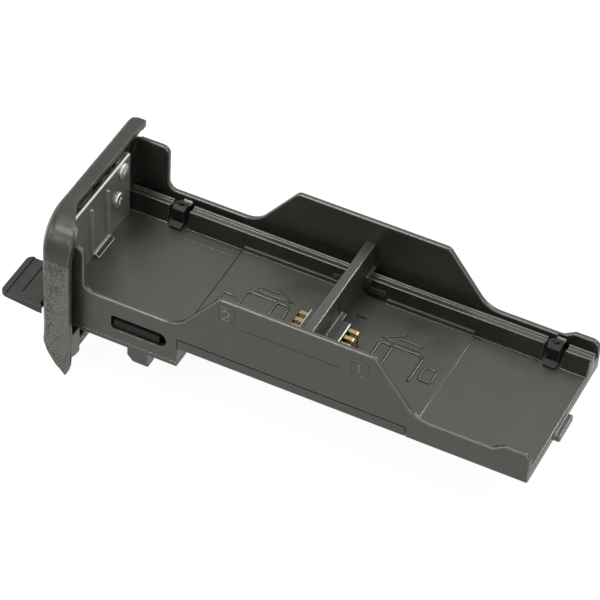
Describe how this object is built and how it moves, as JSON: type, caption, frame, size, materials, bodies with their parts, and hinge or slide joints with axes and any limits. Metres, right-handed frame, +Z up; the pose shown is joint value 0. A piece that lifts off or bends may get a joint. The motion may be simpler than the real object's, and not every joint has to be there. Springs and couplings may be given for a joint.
{
  "type": "camera battery grip tray",
  "caption": "Open tray that carries rechargeable packs end to end into a camera's battery grip, with spring contacts, catches, a closing end cap and a fold-out lock handle.",
  "frame": {"origin": "middle of the tray's flat underside, below the divider between the two bays", "axes": "+X along the tray to its open end, +Y to the wall that carries the rail, +Z up out of the bays"},
  "size_m": [0.1586, 0.0543, 0.051],
  "materials": {
    "tray_plastic": "fine spark texture",
    "divider_plastic": "fine spark texture",
    "dark_plastic": "satin",
    "cap_plastic": "satin",
    "handle_plastic": "satin",
    "bolt_plastic": "satin",
    "rubber": "pebbled",
    "seal_rubber": "smooth",
    "gold": "gold plated",
    "board": "solder mask",
    "bright_steel": "nickel plated",
    "dark_steel": "blackened"
  },
  "bodies": {
    "tray": {"tray_body": "tray_plastic", "bottom_cover": "tray_plastic", "bottom_cover_screws": "dark_steel", "lock_cover": "tray_plastic", "lock_cover_screws": "dark_steel", "divider": "divider_plastic", "contact_carrier_1": "dark_plastic", "contact_carrier_2": "dark_plastic", "contact_board": "board", "contact_leads": "gold", "output_contacts": "gold", "catch_spring_1": "bright_steel", "catch_spring_2": "bright_steel", "end_plate": "divider_plastic", "end_plate_screws": "bright_steel", "end_cap_shell": "cap_plastic", "end_cap_rubber": "rubber"},
    "knob": {"lock_knob": "cap_plastic", "knob_seal": "seal_rubber", "knob_clip": "bright_steel", "lock_crank": "bright_steel", "handle_pin": "bright_steel"},
    "handle": {"handle": "handle_plastic"},
    "bolt": {"lock_bolt": "bolt_plastic"},
    "catch_1": {"battery_catch_1": "dark_plastic"},
    "catch_2": {"battery_catch_2": "dark_plastic"},
    "blades_1": {"contact_blades_1": "gold"},
    "blades_2": {"contact_blades_2": "gold"}
  },
  "joints": [
    {"name": "lock_turn", "type": "hinge", "parent": "tray", "child": "knob", "pos_m": [-0.072, -0.019, -0.0026], "axis": [1, 0, 0], "range_deg": [0, 90]},
    {"name": "handle_fold", "type": "hinge", "parent": "knob", "child": "handle", "pos_m": [-0.0769, -0.019, -0.0026], "axis": [0, 1, 0], "range_deg": [0, 90]},
    {"name": "bolt_slide", "type": "slide", "parent": "tray", "child": "bolt", "axis": [0, -1, 0], "range_m": [0, 0.00283]},
    {"name": "catch_1_press", "type": "slide", "parent": "tray", "child": "catch_1", "axis": [0, 1, 0], "range_m": [0, 0.0012], "stiffness_N_per_m": 300, "springref_m": -0.001, "deforming": ["catch_spring_1"]},
    {"name": "catch_2_press", "type": "slide", "parent": "tray", "child": "catch_2", "axis": [0, 1, 0], "range_m": [0, 0.0012], "stiffness_N_per_m": 300, "springref_m": -0.001, "deforming": ["catch_spring_2"]},
    {"name": "blades_1_press", "type": "slide", "parent": "tray", "child": "blades_1", "axis": [-1, 0, 0], "range_m": [0, 0.0008], "stiffness_N_per_m": 800, "springref_m": -0.0003},
    {"name": "blades_2_press", "type": "slide", "parent": "tray", "child": "blades_2", "axis": [1, 0, 0], "range_m": [0, 0.0008], "stiffness_N_per_m": 800, "springref_m": -0.0003}
  ],
  "couplings": [
    {"joint": "lock_turn", "follows": "bolt_slide", "rad_per_m": 555.37}
  ]
}
